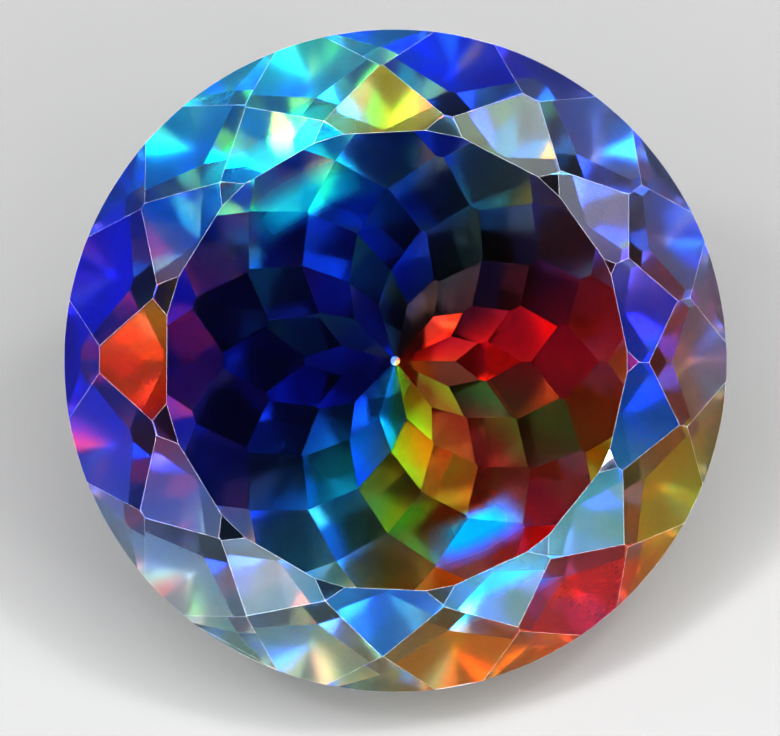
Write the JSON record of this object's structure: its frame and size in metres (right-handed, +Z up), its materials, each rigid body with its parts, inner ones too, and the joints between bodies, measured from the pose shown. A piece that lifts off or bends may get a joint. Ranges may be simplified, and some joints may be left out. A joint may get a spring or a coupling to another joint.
{
  "type": "rainbow quartz gemstone",
  "caption": "Loose round faceted quartz with a rainbow coat on its pavilion, lying on one pavilion facet with its table facing up and forward.",
  "frame": {"origin": "middle of the pavilion facet that the stone lies on", "axes": "+Z up, out of the surface that the stone lies on; the table faces up and towards -Y; +X to the right, seen on the table"},
  "size_m": [0.025, 0.0205, 0.02],
  "materials": {
    "quartz": "polished clear quartz with a rainbow metal-oxide coat on the pavilion"
  },
  "bodies": {
    "root": {"stone": "quartz"}
  },
  "joints": []
}
